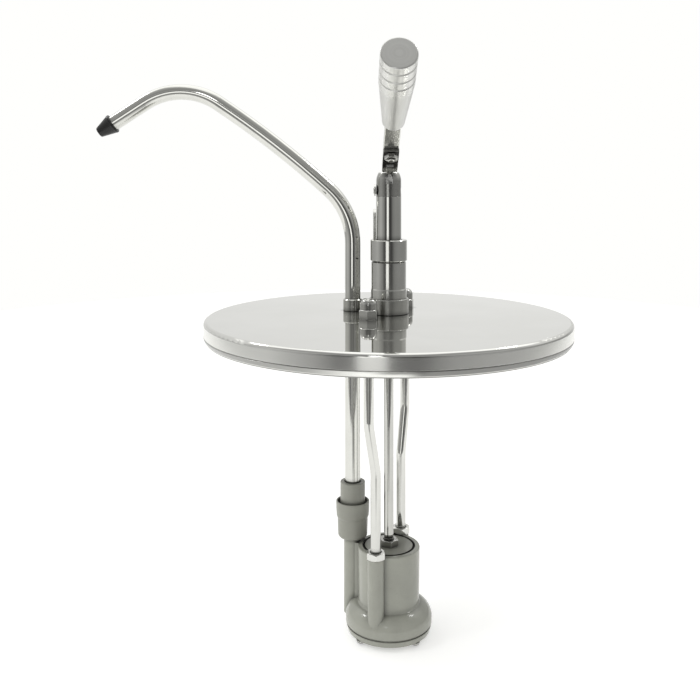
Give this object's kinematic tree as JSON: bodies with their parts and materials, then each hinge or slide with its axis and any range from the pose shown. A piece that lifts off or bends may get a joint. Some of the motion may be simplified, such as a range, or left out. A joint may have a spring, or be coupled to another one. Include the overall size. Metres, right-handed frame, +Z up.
{
  "type": "condiment pump dispenser",
  "caption": "Lever-operated condiment pump on a round lid: pressing the lever drives a piston that sends one portion up the bent tube and out of the nozzle.",
  "frame": {"origin": "on the lid's axis, in the plane of the seat land under the lid where it rests on the food inset's rim", "axes": "+Z up along the pump axis, -Y to the front where the lever's knob points, -X to the side the spout points"},
  "size_m": [0.3062, 0.23, 0.3656],
  "materials": {
    "lid_stainless": "mirror polished top, brushed skirt",
    "column_stainless": "fine turned satin",
    "cap_stainless": "satin, darker",
    "tube_chrome": "polished",
    "spout_stainless": "polished with fine draw lines",
    "rod_stainless": "satin",
    "lever_stainless": "satin",
    "bracket_stainless": "brushed sheet",
    "fastener_stainless": "bright",
    "spring_steel": "drawn wire",
    "ball_steel": "polished",
    "knob_aluminium": "turned, polished front section, brushed taper",
    "body_plastic": "smooth moulded",
    "coupling_plastic": "satin moulded",
    "piston_plastic": "turned",
    "bushing_plastic": "acetal",
    "nozzle_black": "satin black",
    "seal_rubber": "smooth"
  },
  "bodies": {
    "frame": {"lid": "lid_stainless", "column_base_ring": "column_stainless", "lower_sleeve": "column_stainless", "upper_sleeve": "column_stainless", "upper_guide_bushing": "bushing_plastic", "lower_guide_bushing": "bushing_plastic", "spring_washer": "fastener_stainless", "return_spring": "spring_steel", "column_washer": "fastener_stainless", "column_locknut": "fastener_stainless", "fulcrum_bracket": "bracket_stainless", "fulcrum_pin": "fastener_stainless", "fulcrum_spacers": "bushing_plastic", "bracket_screws": "fastener_stainless", "bracket_nuts": "fastener_stainless", "tie_rod_front": "rod_stainless", "tie_rod_rear": "rod_stainless", "acorn_nuts": "fastener_stainless", "tie_rod_lid_nuts": "fastener_stainless", "tie_rod_body_nuts": "fastener_stainless", "discharge_tube": "spout_stainless", "discharge_collar": "column_stainless", "discharge_clip": "fastener_stainless", "spout_nozzle": "nozzle_black", "coupling_upper_sleeve": "coupling_plastic", "coupling_o_rings": "seal_rubber", "coupling_lower_sleeve": "coupling_plastic", "outlet_stub": "rod_stainless", "pump_body": "body_plastic", "base_plate": "body_plastic", "base_o_ring": "seal_rubber", "base_screws": "fastener_stainless", "inlet_cage": "fastener_stainless"},
    "head": {"head_cap": "cap_stainless", "head_tube": "tube_chrome", "tube_end_plug": "fastener_stainless", "head_pin": "fastener_stainless", "head_pin_clip": "fastener_stainless", "plunger_rod": "rod_stainless", "piston": "piston_plastic", "piston_seal": "seal_rubber", "piston_nut": "fastener_stainless"},
    "lever": {"lever_bar": "lever_stainless", "lever_yoke": "lever_stainless", "lever_screw": "fastener_stainless", "lever_nut": "fastener_stainless", "knob": "knob_aluminium"},
    "inlet_check": {"inlet_ball": "ball_steel"},
    "outlet_check": {"outlet_ball": "ball_steel"}
  },
  "joints": [
    {"name": "head_slide", "type": "slide", "parent": "frame", "child": "head", "axis": [0, 0, -1], "range_m": [0, 0.025], "stiffness_N_per_m": 600, "springref_m": -0.03, "deforming": ["return_spring"]},
    {"name": "lever_pivot", "type": "hinge", "parent": "head", "child": "lever", "pos_m": [0.0015, 0.013, 0.0807], "axis": [1, 0, 0], "range_deg": [0, 42]},
    {"name": "inlet_ball_lift", "type": "slide", "parent": "frame", "child": "inlet_check", "axis": [0, 0, 1], "range_m": [0, 0.0025]},
    {"name": "outlet_ball_lift", "type": "slide", "parent": "frame", "child": "outlet_check", "axis": [0, 0, 1], "range_m": [0, 0.0025]}
  ],
  "couplings": [
    {"joint": "lever_pivot", "follows": "head_slide", "rad_per_m": 28.75}
  ]
}
